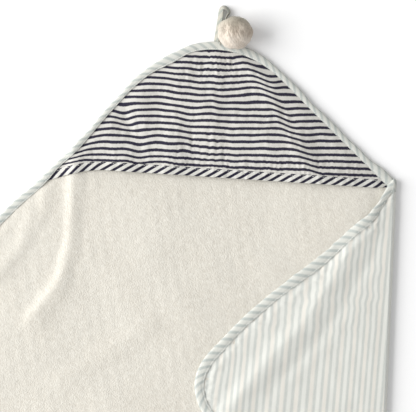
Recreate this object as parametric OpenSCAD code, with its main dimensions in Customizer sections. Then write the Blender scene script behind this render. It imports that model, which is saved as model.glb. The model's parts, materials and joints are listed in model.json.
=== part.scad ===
// Hooded baby towel: a terry square with a striped lining, a crinkled-cotton hood, bias-bound edges,
// a hanging loop and a felted pompom. It lies terry side up with its right corner folded over.
// Units are millimetres. +Z is up and +Y points from the towel's centre to the tip of the hood.
// The origin is the centre of the unfolded square, on the surface that the towel lies on.

/* [Towel] */
// Side of the unfolded square
towel_side = 762; // [740:1:800]
// Corner radius at the tip of the hood
tip_radius = 145; // [140:1:150]
// Corner radius of the other corners
corner_radius = 70; // [50:1:90]
// Thickness of the terry with its loops
terry_t = 4; // [3.6:0.1:4.4]
// Thickness of the striped cotton lining
lining_t = 0.8; // [0.6:0.1:1]

/* [Binding] */
// Width of the bias binding on each face of the towel
binding_w = 12.7; // [11:0.1:13]
// Thickness of the binding cloth
binding_t = 0.7; // [0.5:0.05:0.8]
// Width of the stitched thread line
thread_w = 0.6; // [0.4:0.1:0.8]
// Distance from the binding's inner edge to the thread line
thread_inset = 2; // [1.5:0.1:3]

/* [Hood] */
// Y of the hood's lower edge
hood_line = 290; // [289:1:300]
// Height of the relaxed pocket between the terry and the hood
pocket_h = 7; // [6:0.5:12]
// Thickness of the crinkled cotton
hood_cloth_t = 0.7; // [0.5:0.1:0.9]
// Thickness of the hood's inner layer
hood_lining_t = 0.5; // [0.4:0.1:0.8]
// Distance from the side seams at which the hood reaches its full height
crown_inset = 100; // [90:1:110]

/* [Folded corner] */
// X of the fold's axis at the height fold_y
fold_x = 248.9; // [247:0.1:249]
// Y at which fold_x is taken
fold_y = 280; // [278:1:282]
// Lean of the fold's axis from +Y towards +X, in degrees
fold_lean = 2.5; // [1:0.1:4]
// Gap between the two terry faces that lie on each other
fold_gap = 0.3; // [0.3:0.1:1]

/* [Loop and pompom] */
// Radius of the pompom
pompom_r = 23.4; // [22:0.1:24]
// X of the pompom's centre
pompom_x = 32.8; // [32:0.1:36]
// Y of the pompom's centre
pompom_y = 492.1; // [491:0.1:496]
// Thickness of the folded loop tape
loop_t = 1.6; // [1.2:0.1:2]
// Height of the loop tape, which stands on its edge
loop_h = 5; // [4:0.1:5]

/* [Hidden] */
$fn = 96;

terry_color = [0.91, 0.89, 0.85];
lining_color = [0.87, 0.88, 0.84];
sage_color = [0.76, 0.79, 0.76];
thread_color = [0.93, 0.92, 0.88];
hood_color = [0.62, 0.62, 0.66];
navy_color = [0.3, 0.3, 0.38];
wool_color = [0.72, 0.65, 0.58];

// Longer than any side of the towel, for half planes
far = 2 * towel_side;
half_side = towel_side / 2;
half_diagonal = towel_side / sqrt(2);
towel_t = lining_t + terry_t;

// Insets from the towel's edge at which the layers change
edge_inset = binding_t;
lining_rim = binding_w + 2.3;
lining_field = binding_w + 0.3;
terry_field = binding_w + 5.3;

// Heights in the bound edge
seam_bottom = binding_t + lining_t;
hood_seam = towel_t - hood_lining_t - hood_cloth_t;
thread_t = 0.2;

// The hood's stack of two cloths, held by the mouth binding
hood_stack = hood_lining_t + hood_cloth_t;
mouth_t = 0.5;
cloth_line = hood_line + mouth_t;
flange_lap = 1;
hood_clearance = 0.3;
shoulder_z = towel_t + mouth_t + hood_clearance;
crown_z = towel_t + pocket_h;
mouth_end_inset = binding_w + 1.8;
hood_insets = [edge_inset, binding_w, terry_field, 28, 42, 58, 78, crown_inset];
mouth_insets = [mouth_end_inset, terry_field, 28, 42, 58, 78, crown_inset];
side_steps = 6;
arc_steps = 16;
hood_steps = 2 * side_steps + arc_steps;
tip_arc_y = half_diagonal - tip_radius * sqrt(2);

// The fold's axis lies half way up the gap between the two terry faces
fold_z = towel_t + fold_gap / 2;
flap_clearance = 0.3;

// The loop is a teardrop of tape whose narrow end is caught in the tip's binding
loop_root = [5, 470];
loop_root_r = 4.5;
loop_end = [14, 516.5];
loop_end_r = 8.5;
loop_z = 0.3;
loop_facets = 32;

// The tie runs from the tip's seam to the pompom, and the pompom turns about its foot
pompom_centre = [pompom_x, pompom_y, pompom_r];
tie_foot = [20, 475, 7.4];
tie_r = 1.2;
tie_depth = 5;

// ---- plan shapes ----

// The unfolded towel's outline, moved inwards by inset
module outline(inset) {
    h = half_side - inset;
    t = tip_radius - inset;
    c = corner_radius - inset;
    rotate(45) {
        polygon([
            [h, h - t], [h - t, h], [c - h, h], [-h, h - c],
            [-h, c - h], [c - h, -h], [h - c, -h], [h, c - h]
        ]);
        translate([h - t, h - t]) circle(t, $fn = 256);
        for (corner = [[-1, 1], [-1, -1], [1, -1]])
            translate((h - c) * corner) circle(c, $fn = 128);
    }
}

// The band of the outline between two insets
module edge_band(outer, inner) {
    difference() {
        outline(outer);
        outline(inner);
    }
}

// Everything on the towel's side of the fold
module main_side() {
    translate([fold_x, fold_y]) rotate(-fold_lean) translate([-far, -far]) square([far, 2 * far]);
}

// Everything beyond the fold
module flap_side() {
    translate([fold_x, fold_y]) rotate(-fold_lean) translate([flap_clearance, -far]) square([far, 2 * far]);
}

// Everything above a level line
module above(y) {
    translate([-far, y]) square([2 * far, far]);
}

// A slab from z0 to z1 of the first shape, within the second shape
module slab(z0, z1) {
    translate([0, 0, z0]) linear_extrude(z1 - z0) intersection() {
        children(0);
        children(1);
    }
}

// ---- cloth layers, each within the half plane given as its child ----

// The lining is flat on the ground, and its rim is raised over the binding
module lining_layer() {
    color(lining_color) {
        slab(0, lining_t) {
            outline(lining_field);
            children();
        }
        slab(0, seam_bottom) {
            edge_band(lining_field, lining_rim);
            children();
        }
        slab(binding_t, seam_bottom) {
            edge_band(edge_inset, lining_rim);
            children();
        }
    }
}

// The terry is full height inside the binding and pressed thin within it
module terry_layer() {
    color(terry_color) {
        slab(lining_t, towel_t) {
            outline(terry_field);
            children();
        }
        slab(seam_bottom, hood_seam) {
            outline(edge_inset);
            children();
        }
        slab(seam_bottom, towel_t - binding_t) {
            difference() {
                outline(edge_inset);
                above(cloth_line);
            }
            children();
        }
    }
}

// A thread line let into the top and the bottom of the binding
module stitch_layer() {
    outer = binding_w - thread_inset - thread_w;
    inner = binding_w - thread_inset;
    color(thread_color) {
        slab(0, thread_t) {
            edge_band(outer, inner);
            children();
        }
        slab(towel_t - thread_t, towel_t) {
            difference() {
                edge_band(outer, inner);
                above(cloth_line - flange_lap);
            }
            children();
        }
        slab(towel_t + binding_t - thread_t, towel_t + binding_t) {
            intersection() {
                edge_band(outer, inner);
                above(cloth_line - flange_lap);
            }
            children();
        }
    }
}

// The space between z0 and z1 that the bound layers fill, within the shape given as its child
module slot(z0, z1) {
    translate([0, 0, z0]) linear_extrude(z1 - z0) children();
}

// The binding is a channel round the edge, taller where it also holds the hood
module binding_layer() {
    color(sage_color) difference() {
        union() {
            slab(0, towel_t) {
                outline(0);
                children();
            }
            slab(0, towel_t + binding_t) {
                intersection() {
                    outline(0);
                    above(cloth_line - flange_lap);
                }
                children();
            }
        }
        slot(binding_t, towel_t - binding_t) outline(edge_inset);
        slot(binding_t, towel_t) intersection() {
            outline(edge_inset);
            above(cloth_line);
        }
        slot(-towel_t, 2 * towel_t) outline(binding_w);
        stitch_layer() children();
    }
}

// ---- main part ----

module lining_main() {
    lining_layer() main_side();
}

module terry_main() {
    terry_layer() main_side();
}

module binding_main() {
    binding_layer() main_side();
}

module stitch_main() {
    stitch_layer() main_side();
}

// ---- hood ----

function lerp(a, b, t) = a + (b - a) * t;

// X, on the left, of the straight side at an inset and a height
function side_x(inset, y) = half_diagonal - sqrt(2) * inset - y;

// Height of the hood's underside at an inset from the side seams
function hood_z(inset) =
    inset <= binding_w ? hood_seam
    : inset <= terry_field ? lerp(hood_seam, shoulder_z, (inset - binding_w) / (terry_field - binding_w))
    : lerp(shoulder_z, crown_z, sin(90 * (inset - terry_field) / (crown_inset - terry_field)));

// Point j of the hood's edge at an inset: up the left side, round the tip and down the right side
function hood_point(inset, j) =
    j > hood_steps / 2 ? mirror_x(hood_point(inset, hood_steps - j))
    : j >= side_steps ? tip_point(inset, -45 + 90 * (j - side_steps) / arc_steps)
    : lerp([-side_x(inset, cloth_line), cloth_line], tip_point(inset, -45), j / side_steps);

function mirror_x(p) = [-p[0], p[1]];

function tip_point(inset, angle) =
    [(tip_radius - inset) * sin(angle), tip_arc_y + (tip_radius - inset) * cos(angle)];

// A curved cloth of the hood's shape, from lift above the underside and thick in height
module hood_shell(lift, thick) {
    rings = len(hood_insets);
    row = hood_steps + 1;
    layer = rings * row;
    inner = (rings - 1) * row;
    half = hood_steps / 2;
    points = [
        for (top = [0, 1], inset = hood_insets, j = [0:hood_steps])
            let (p = hood_point(inset, j)) [p[0], p[1], hood_z(inset) + lift + top * thick]
    ];
    bands = [
        for (k = [0:rings - 2], j = [0:hood_steps - 1])
            let (a = k * row + j) [a, a + 1, a + 1 + row, a + row]
    ];
    crown = [
        for (j = [0:half - 2])
            [inner + j, inner + j + 1, inner + hood_steps - j - 1, inner + hood_steps - j]
    ];
    crown_tip = [[inner + half - 1, inner + half, inner + half + 1]];
    underside = concat(bands, crown, crown_tip);
    topside = [for (face = underside) [for (i = [len(face) - 1:-1:0]) face[i] + layer]];
    rim = [for (j = [0:hood_steps - 1]) [j + 1, j, j + layer, j + 1 + layer]];
    left_end = [for (k = [0:rings - 2]) let (a = k * row) [a, a + row, a + row + layer, a + layer]];
    right_end = [
        for (k = [0:rings - 2])
            let (a = k * row + hood_steps) [a + row, a, a + layer, a + row + layer]
    ];
    front = [[inner, inner + hood_steps, inner + hood_steps + layer, inner + layer]];
    polyhedron(points, concat(underside, topside, rim, left_end, right_end, front));
}

// A strip along the hood's mouth. Its section is a list of [y, z] from the cloth's front underside,
// and its ends are closed by the convex faces in caps, which name points of the section.
module mouth_strip(section, caps) {
    last = len(mouth_insets) - 1;
    columns = concat([for (k = [0:last]) [-1, mouth_insets[k]]], [for (k = [last:-1:0]) [1, mouth_insets[k]]]);
    sides = len(section);
    end = len(columns) - 1;
    points = [
        for (column = columns, p = section)
            [column[0] * side_x(column[1], cloth_line + p[0]), cloth_line + p[0], hood_z(column[1]) + p[1]]
    ];
    walls = [
        for (i = [0:end - 1], j = [0:sides - 1])
            let (a = i * sides + j, b = i * sides + (j + 1) % sides) [a, b, b + sides, a + sides]
    ];
    left_cap = [for (cap = caps) [for (i = [len(cap) - 1:-1:0]) cap[i]]];
    right_cap = [for (cap = caps) [for (j = cap) end * sides + j]];
    polyhedron(points, concat(walls, left_cap, right_cap));
}

module hood_lining() {
    color(terry_color) hood_shell(0, hood_lining_t);
}

module hood_panel() {
    color(hood_color) hood_shell(hood_lining_t, hood_cloth_t);
}

// A channel that wraps both cloths at the mouth
module hood_mouth_binding() {
    depth = binding_w - mouth_t;
    channel = [
        [-mouth_t, -mouth_t], [-mouth_t, hood_stack + mouth_t], [depth, hood_stack + mouth_t],
        [depth, hood_stack], [0, hood_stack], [0, 0], [depth, 0], [depth, -mouth_t]
    ];
    color(navy_color) mouth_strip(channel, [[1, 2, 3, 4], [0, 1, 4, 5], [0, 5, 6, 7]]);
}

module hood_mouth_stitch() {
    back = binding_w - mouth_t - thread_inset;
    top = hood_stack + mouth_t;
    thread = [
        [back - thread_w, top], [back - thread_w, top + thread_t], [back, top + thread_t], [back, top]
    ];
    color(thread_color) mouth_strip(thread, [[0, 1, 2, 3]]);
}

// ---- hanging loop ----

module loop_shape(inset) {
    hull() {
        translate(loop_root) circle(loop_root_r - inset, $fn = loop_facets);
        translate(loop_end) circle(loop_end_r - inset, $fn = loop_facets);
    }
}

module hanging_loop() {
    color(sage_color) translate([0, 0, loop_z]) linear_extrude(loop_h) difference() {
        loop_shape(0);
        loop_shape(loop_t);
        outline(0);
    }
}

// ---- bend of the folded corner ----

// Distance along the fold's axis, from its reference point, to the upper and lower edges at an inset
function fold_up(inset) = (half_diagonal - sqrt(2) * inset - fold_x - fold_y) / (sin(fold_lean) + cos(fold_lean));
function fold_down(inset) = -(half_diagonal - sqrt(2) * inset - fold_x + fold_y) / (cos(fold_lean) - sin(fold_lean));

// Section of a layer at heights z0 to z1 of the flat towel, drawn as radius and distance along the axis
module bend_section(z0, z1, inset) {
    translate([fold_z - z1, fold_down(inset)]) square([z1 - z0, fold_up(inset) - fold_down(inset)]);
}

// A half turn of the section about the fold's axis, on the outer side of the fold
module bend() {
    translate([fold_x, fold_y, fold_z]) rotate([0, 0, -fold_lean]) rotate([-90, -90, 0])
        rotate_extrude(angle = 180) children();
}

module lining_fold_bend() {
    color(lining_color) bend() {
        bend_section(0, lining_t, lining_field);
        difference() {
            bend_section(binding_t, seam_bottom, edge_inset);
            bend_section(binding_t, seam_bottom, lining_rim);
        }
        difference() {
            bend_section(0, seam_bottom, lining_field);
            bend_section(0, seam_bottom, lining_rim);
        }
    }
}

module terry_fold_bend() {
    color(terry_color) bend() {
        bend_section(lining_t, towel_t, terry_field);
        bend_section(seam_bottom, towel_t - binding_t, edge_inset);
    }
}

module binding_fold_bend() {
    color(sage_color) bend() difference() {
        bend_section(0, towel_t, 0);
        bend_section(binding_t, towel_t - binding_t, edge_inset);
        bend_section(0, towel_t, binding_w);
    }
}

// ---- folded corner: its layers are turned half a turn about the fold's axis ----

module turned_over() {
    translate([fold_x, fold_y, fold_z]) rotate([0, 0, -fold_lean]) rotate([0, 180, 0])
        rotate([0, 0, fold_lean]) translate([-fold_x, -fold_y, -fold_z]) children();
}

module lining_flap() {
    turned_over() lining_layer() flap_side();
}

module terry_flap() {
    turned_over() terry_layer() flap_side();
}

module binding_flap() {
    turned_over() binding_layer() flap_side();
}

module stitch_flap() {
    turned_over() stitch_layer() flap_side();
}

// ---- pompom ----

// A thread from the tie's foot into the pompom
module tie_thread() {
    run = pompom_centre - tie_foot;
    translate(tie_foot) rotate([0, acos(run[2] / norm(run)), atan2(run[1], run[0])])
        cylinder(h = norm(run) - pompom_r + tie_depth, r = tie_r, $fn = 32);
}

module pompom() {
    color(wool_color) difference() {
        translate(pompom_centre) sphere(pompom_r);
        tie_thread();
    }
}

module pompom_tie() {
    color(thread_color) tie_thread();
}

lining_main();
terry_main();
binding_main();
stitch_main();
hood_lining();
hood_panel();
hood_mouth_binding();
hood_mouth_stitch();
hanging_loop();
lining_fold_bend();
terry_fold_bend();
binding_fold_bend();
lining_flap();
terry_flap();
binding_flap();
stitch_flap();
pompom();
pompom_tie();
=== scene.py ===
"""Hooded baby towel, laid terry side up with its right corner folded over, on a pale studio floor.

Every length is in metres, in the frame of the CAD model. The cloth is built flat, as it was cut, and each
piece is then laid out: the folded corner is turned over about the fold, and small shifts and lifts give the
creases of cloth that was put down by hand.
"""

import json
import math

import bmesh
import bpy
import numpy as np
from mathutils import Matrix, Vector

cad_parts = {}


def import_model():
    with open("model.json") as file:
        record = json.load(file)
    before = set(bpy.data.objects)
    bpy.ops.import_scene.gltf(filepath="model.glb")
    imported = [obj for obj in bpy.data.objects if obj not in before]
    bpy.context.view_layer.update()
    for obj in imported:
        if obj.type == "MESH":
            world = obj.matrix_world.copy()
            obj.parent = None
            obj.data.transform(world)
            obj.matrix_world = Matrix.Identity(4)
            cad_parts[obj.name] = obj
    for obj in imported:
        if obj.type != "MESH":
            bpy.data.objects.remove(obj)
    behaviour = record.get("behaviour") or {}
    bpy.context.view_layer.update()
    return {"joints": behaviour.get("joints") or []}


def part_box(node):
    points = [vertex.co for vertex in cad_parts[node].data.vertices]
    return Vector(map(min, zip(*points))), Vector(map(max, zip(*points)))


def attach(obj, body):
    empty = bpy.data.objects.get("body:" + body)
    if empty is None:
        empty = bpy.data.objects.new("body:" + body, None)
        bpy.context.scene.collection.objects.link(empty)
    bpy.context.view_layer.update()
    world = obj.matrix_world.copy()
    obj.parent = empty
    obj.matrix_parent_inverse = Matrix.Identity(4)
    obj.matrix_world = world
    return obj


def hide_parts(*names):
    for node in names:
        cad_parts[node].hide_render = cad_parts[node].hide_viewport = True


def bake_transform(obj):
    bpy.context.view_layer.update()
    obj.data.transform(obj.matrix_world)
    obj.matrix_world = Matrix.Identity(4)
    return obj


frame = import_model()

MM = 0.001
ROOT2 = math.sqrt(2)

# ---- sizes, from the frame ----

TIP_R = 145 * MM
CORNER_R = 70 * MM
binding_low, binding_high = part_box("binding_main")
HALF_DIAGONAL = CORNER_R * (ROOT2 - 1) - binding_low[0]
HALF_SIDE = HALF_DIAGONAL / ROOT2
TIP_Y = binding_high[1]
MOUTH_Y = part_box("hood_mouth_binding")[0][1]

joints = {joint["name"]: joint for joint in frame["joints"]}
FOLD_X, FOLD_Y, FOLD_Z = joints["corner_fold"]["pos_m"]
FOLD_SIN, FOLD_COS = joints["corner_fold"]["axis"][:2]

TAPE_W = 12.7 * MM
TAPE_T = 0.6 * MM
CLOTH_EDGE = 7 * MM
LINING_T = 0.8 * MM
TERRY_T = 4.0 * MM
TOWEL_T = LINING_T + TERRY_T
MAIN_RAISE = 0.7 * MM
FLAP_RAISE = 1.15 * MM
SHARP_ANGLE = math.radians(65)

# ---- small maths ----


def smooth(t):
    """0 below 0, 1 above 1, and a smooth step between them."""
    t = np.clip(t, 0, 1)
    return t * t * (3 - 2 * t)


def hump(t):
    """A smooth bump: 1 at 0, and nearly 0 beyond 2 on either side."""
    return np.exp(-t * t)


def past(value, start, width):
    """A smooth step from 0 to 1, over a width from a start, both in millimetres."""
    return smooth((value - start * MM) / (width * MM))


def before(value, end, width):
    """A smooth step from 1 to 0, over a width up to an end, both in millimetres."""
    return smooth((end * MM - value) / (width * MM))


def close_to(value, middle, width):
    """A smooth bump round a middle, both in millimetres."""
    return hump((value - middle * MM) / (width * MM))


def unit(vectors):
    """Rows of vectors, each at length 1."""
    return vectors / np.linalg.norm(vectors, axis=1, keepdims=True)


def running(steps):
    """Running total of some steps, from 0."""
    return np.concatenate([[0], np.cumsum(steps)])


def ripple(x, y, wavelength, seed, terms=9, squeeze=(1, 1)):
    """A smooth random field of about unit height, made of waves in all directions."""
    draw = np.random.default_rng(seed)
    total = 0
    for _ in range(terms):
        angle, phase = draw.uniform(0, 2 * math.pi, 2)
        k = 2 * math.pi / (wavelength * draw.uniform(0.7, 1.4))
        along = math.cos(angle) * squeeze[0] * x + math.sin(angle) * squeeze[1] * y
        total = total + np.cos(k * along + phase)
    return total * math.sqrt(2 / terms)


def along_line(x, y, points):
    """Signed distance to the right of a line through points, and how far along it, from 0 to 1."""
    points = np.array(points) * MM
    lengths = np.linalg.norm(np.diff(points, axis=0), axis=1)
    walked = running(lengths)
    best, side, place = np.full(x.shape, 1e9), np.zeros(x.shape), np.zeros(x.shape)
    last = len(lengths) - 1
    for i, (a, b) in enumerate(zip(points[:-1], points[1:])):
        d = (b - a) / lengths[i]
        t = (x - a[0]) * d[0] + (y - a[1]) * d[1]
        inside = np.clip(t, -1e9 if i == 0 else 0, 1e9 if i == last else lengths[i])
        gap = np.hypot(x - a[0] - inside * d[0], y - a[1] - inside * d[1])
        nearer = gap < best
        across = (x - a[0]) * d[1] - (y - a[1]) * d[0]
        side = np.where(nearer, np.sign(across) * gap, side)
        place = np.where(nearer, (walked[i] + inside) / walked[-1], place)
        best = np.minimum(best, gap)
    return side, place


def crease(x, y, points, height, left, right, fade=0.2):
    """A ridge along a line, with its own width in millimetres on each side, that fades out at both ends."""
    side, place = along_line(x, y, points)
    width = np.where(side < 0, left, right) * MM
    ends = smooth((place + fade) / fade) * smooth((1 + fade - place) / fade)
    return height * MM * hump(side / width) * ends


# ---- the outline of the unfolded towel ----


def inset_of(x, y):
    """Distance inwards from the towel's edge."""
    u, v = (x + y) / ROOT2, (y - x) / ROOT2
    r = np.where((u > 0) & (v > 0), TIP_R, CORNER_R)
    a, b = np.abs(u) - HALF_SIDE + r, np.abs(v) - HALF_SIDE + r
    outside = np.hypot(np.maximum(a, 0), np.maximum(b, 0)) + np.minimum(np.maximum(a, b), 0)
    return r - outside


ARC_POINTS = 90


def outline_table():
    """Length along the edge, clockwise from the tip, with the place and the inward normal there."""
    rows = []
    corners = [(90, TIP_R, 90, 45), (0, CORNER_R, 45, -45), (-90, CORNER_R, -45, -135),
               (-180, CORNER_R, -135, -225), (-270, TIP_R, -225, -270)]
    for middle, r, first, final in corners:
        reach = HALF_DIAGONAL - r * ROOT2
        cx, cy = reach * math.cos(math.radians(middle)), reach * math.sin(math.radians(middle))
        for a in np.radians(np.linspace(first, final, ARC_POINTS)):
            rows.append((cx + r * math.cos(a), cy + r * math.sin(a), -math.cos(a), -math.sin(a)))
    rows = np.array(rows)
    return running(np.hypot(*np.diff(rows[:, :2], axis=0).T)), rows


EDGE_S, EDGE_ROWS = outline_table()
EDGE_LENGTH = EDGE_S[-1]


def edge_place(s, inset):
    """Plan place, at an inset, of the point at length s along the edge."""
    x, y, nx, ny = (np.interp(np.mod(s, EDGE_LENGTH), EDGE_S, column) for column in EDGE_ROWS.T)
    return x + inset * nx, y + inset * ny


def beyond_fold(x, y):
    """Distance beyond the fold's axis, on the folded corner's side."""
    return (x - FOLD_X) * FOLD_COS - (y - FOLD_Y) * FOLD_SIN


def fold_crossing(inset, upper):
    """Length along the edge at which the line at an inset meets the fold."""
    straight = ARC_POINTS if upper else 2 * ARC_POINTS
    a, b = EDGE_S[straight - 1], EDGE_S[straight]
    fa, fb = (beyond_fold(*edge_place(s, inset)) for s in (a + 1e-7, b - 1e-7))
    return a + (b - a) * fa / (fa - fb)


# ---- how the cloth lies ----


def mouth_y(x):
    """Y of the hood's lower edge: it runs down to the right, dips at the left and lifts at the fold."""
    slope = MOUTH_Y + 2 * MM - 0.065 * x
    dip = 18.3 * MM * (np.clip(-150 * MM - x, 0, None) / (72 * MM)) ** 1.5
    lift = 1.6 * MM * past(x, 222, 20)
    return slope - dip + lift


def settle(x, y):
    """Plan places on the main part after the left side has crept inwards."""
    drawn = 4.4 * before(x, 5, 150) + 1.8 * before(x, -135, 30)
    drawn = drawn - 3.4 * before(x, -222, 50)
    drawn = drawn + 4.2 * close_to(x, -56, 20) - 5.4 * close_to(x, -108, 26)
    drawn = drawn - 2.4 * close_to(x, -160, 22) - 2.6 * close_to(x, -212, 16)
    creep = drawn * MM / ROOT2 * past(y, -50, 200)
    wander = 0.5 * MM * ripple(x, y, 120 * MM, 3) * smooth(-beyond_fold(x, y) / (40 * MM))
    stretched = 1.5 * MM * past(y, 440, 36)
    return x + creep + wander, y - creep - 0.6 * wander + stretched


PLEAT = [(-188, 322), (-191, 262), (-196, 198), (-208, 150), (-238, 112)]
PLEAT_HOLLOW = [(-173, 322), (-176, 250), (-180, 194), (-192, 150)]
LEFT_TUCK = [(-231, 296), (-229, 262), (-235, 226)]
LEFT_RIDGE = [(-249, 236), (-261, 198), (-296, 158)]
LOW_RIDGE = [(-88, 88), (-138, 54), (-205, 14)]


def main_lift(x, y):
    """Height of the main part's underside above the floor, which it never goes below, in settled places."""
    rise = 0.75 * MM * ripple(x, y, 190 * MM, 11) + 0.22 * MM * ripple(x, y, 60 * MM, 12)
    rise = rise + crease(x, y, PLEAT, 4.0, 22, 8.5) + crease(x, y, LEFT_RIDGE, 2.0, 13, 11)
    rise = rise - crease(x, y, PLEAT_HOLLOW, 1.2, 9, 14) + crease(x, y, LEFT_TUCK, 1.3, 12, 8)
    rise = rise + crease(x, y, LOW_RIDGE, 1.0, 18, 13)
    return np.maximum((rise + 0.9 * MM) * smooth(-beyond_fold(x, y) / (45 * MM)), 0)


FLAP_RIDGE = [(222, 270), (203, 214), (168, 152), (127, 90), (86, 48), (44, 0), (8, -60)]
FLAP_HOLLOW = [(238, 214), (194, 142), (152, 80), (112, 36), (70, -14), (30, -80)]


def flap_lift(x, y):
    """How far the folded corner stands above its lowest place, in laid places."""
    rise = crease(x, y, FLAP_RIDGE, 4.1, 34, 13) - crease(x, y, FLAP_HOLLOW, 2.0, 11, 24)
    rise = rise + 0.35 * MM * ripple(x, y, 110 * MM, 21) + 0.15 * MM * ripple(x, y, 34 * MM, 22)
    return rise * smooth(-beyond_fold(x, y) / (30 * MM))


def lay_main(x, y, z):
    """From the flat cloth to the main part as it lies."""
    x, y = settle(x, y)
    return np.stack([x, y, z + main_lift(x, y)], axis=-1)


def lay_flap(x, y, z):
    """From the flat cloth to the folded corner: turned over, drawn towards the fold and creased."""
    over = beyond_fold(x, y)
    x, y, z = x - 2 * over * FOLD_COS, y + 2 * over * FOLD_SIN, 2 * FOLD_Z - z
    wave = 1 + 0.2 * close_to(over, 103, 30) - 0.12 * close_to(over, 175, 36)
    blunt = 4.2 * MM * hump(np.hypot(x + 7 * MM, y - 52 * MM) / (30 * MM))
    slid = 10.4 * wave * smooth(over / (26 * MM)) + 5 * close_to(over, 34, 20) * smooth(over / (10 * MM))
    pulled = 8.5 * wave * smooth(over / (75 * MM)) + 3.2 * past(over, 195, 50)
    x, y = x + pulled * MM, y - slid * MM
    x, y = x + 0.75 * blunt, y - 0.66 * blunt
    uneven = 0.55 * MM * ripple(x, y, 22 * MM, 23, squeeze=(0.4, 1))
    x = x + uneven * smooth(over / (20 * MM)) * smooth(y / (160 * MM))
    return np.stack([x, y, z + flap_lift(x, y)], axis=-1)


# ---- making meshes ----


def add_object(name, data):
    thing = bpy.data.objects.new(name, data)
    bpy.context.scene.collection.objects.link(thing)
    return thing


def make_piece(name, points, faces, cloth=None):
    """A smooth mesh object. cloth gives each point's place on the flat cloth, which the patterns follow."""
    mesh = bpy.data.meshes.new(name)
    mesh.from_pydata(np.asarray(points).tolist(), [], faces)
    mesh.polygons.foreach_set("use_smooth", np.ones(len(mesh.polygons), bool))
    mesh.set_sharp_from_angle(angle=SHARP_ANGLE)
    if cloth is not None:
        corners = np.empty(len(mesh.loops), int)
        mesh.loops.foreach_get("vertex_index", corners)
        layer = mesh.uv_layers.new(name="cloth")
        layer.data.foreach_set("uv", np.asarray(cloth, np.float32)[corners].ravel())
    rest = mesh.attributes.new("rest", "FLOAT_VECTOR", "POINT")
    rest.data.foreach_set("vector", np.asarray(points, np.float32).ravel())
    return add_object(name, mesh)


def grid_quads(rows, columns):
    """Quads between the points of a grid, which are numbered row by row."""
    corner = (np.arange(rows - 1)[:, None] * columns + np.arange(columns - 1)).ravel()
    return np.stack([corner, corner + 1, corner + columns + 1, corner + columns], axis=1)


def plan_grid(columns, rows, turn, keep):
    """Flat points and quads of a grid, turned by an angle, whose corners all pass the test keep(x, y)."""
    u, v = (g.ravel() for g in np.meshgrid(columns, rows))
    x, y = u * math.cos(turn) - v * math.sin(turn), u * math.sin(turn) + v * math.cos(turn)
    quads = grid_quads(len(rows), len(columns))
    quads = quads[keep(x, y)[quads].all(axis=1)]
    used, quads = np.unique(quads, return_inverse=True)
    return x[used], y[used], quads.reshape(-1, 4)


def cut_at_fold(x, y, quads, flap):
    """The part of a flat grid on one side of the fold, cut exactly along it."""
    mesh = bmesh.new()
    verts = [mesh.verts.new((a, b, 0)) for a, b in zip(x.tolist(), y.tolist())]
    for quad in quads.tolist():
        mesh.faces.new([verts[i] for i in quad])
    normal = Vector((FOLD_COS, -FOLD_SIN, 0))
    bmesh.ops.bisect_plane(
        mesh, geom=mesh.verts[:] + mesh.edges[:] + mesh.faces[:], dist=1e-6,
        plane_co=(FOLD_X, FOLD_Y, 0), plane_no=normal, clear_inner=flap, clear_outer=not flap,
    )
    mesh.verts.index_update()
    points = np.array([v.co[:2] for v in mesh.verts])
    faces = [[v.index for v in face.verts] for face in mesh.faces]
    mesh.free()
    return points[:, 0], points[:, 1], faces


def both_sides(x, y):
    """Flat places of a closed sheet's points: the same ones for its upper and its lower side."""
    return np.tile(np.stack([x, y], axis=1), (2, 1))


def closed_sheet(top, bottom, faces):
    """Points and faces of a closed cloth, from its upper and lower points and the faces of one side."""
    n = len(top)
    faces = [list(face) for face in faces]
    edges = {(a, b) for face in faces for a, b in zip(face, face[1:] + face[:1])}
    rim = [(a, b) for a, b in edges if (b, a) not in edges]
    under = [[i + n for i in reversed(face)] for face in faces]
    walls = [[b, a, a + n, b + n] for a, b in sorted(rim)]
    return np.concatenate([top, bottom]), faces + under + walls


def sweep_faces(n, stations):
    """Faces of a closed section of n points carried through some stations, with both ends capped."""
    faces = []
    for i in range(stations - 1):
        for j in range(n):
            a, b = i * n + j, i * n + (j + 1) % n
            faces.append((a, a + n, b + n, b))
    faces.append(tuple(range(n)))
    faces.append(tuple(reversed(range((stations - 1) * n, stations * n))))
    return faces


# Rings of one stitch: place along it in millimetres, and size as a share of its width and height
STITCH_RINGS = [(-1.35, 0.35), (-0.95, 0.95), (0, 1.1), (0.95, 0.95), (1.35, 0.35)]
STITCH_SIDES = 6
STITCH_W, STITCH_H = 0.48 * MM, 0.42 * MM


def stitches(name, places, forwards, ups, width, height):
    """A row of short thread beads, each lying along its forward with its back to its up."""
    sides = STITCH_SIDES
    template = np.array([
        (ring * MM, width * size * math.cos(a), height * size * math.sin(a))
        for ring, size in STITCH_RINGS for a in np.linspace(0, 2 * math.pi, sides, endpoint=False)
    ])
    sideways = np.cross(ups, forwards)
    axes = np.stack([forwards, sideways, ups], axis=1)
    points = places[:, None, :] + np.einsum("tk,nkc->ntc", template, axes)
    count, rings = len(template), len(STITCH_RINGS)
    faces = []
    for k in range(rings - 1):
        for j in range(sides):
            a, b = k * sides + j, k * sides + (j + 1) % sides
            faces.append((a, b, b + sides, a + sides))
    faces.append(tuple(reversed(range(sides))))
    faces.append(tuple(range(count - sides, count)))
    every = [tuple(i + n * count for i in face) for n in range(len(places)) for face in faces]
    return make_piece(name, points.reshape(-1, 3), every)


def bead_row(name, s, surface, width=STITCH_W, height=STITCH_H):
    """Stitches at the lengths s of a line, which surface(s) gives as points with their ups."""
    places, ups = surface(s)
    ahead, _ = surface(s + 0.5 * MM)
    forwards = unit(ahead - places)
    ups = unit(ups - forwards * np.sum(ups * forwards, axis=1, keepdims=True))
    return stitches(name, places, forwards, ups, width, height)


# ---- materials ----


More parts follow.
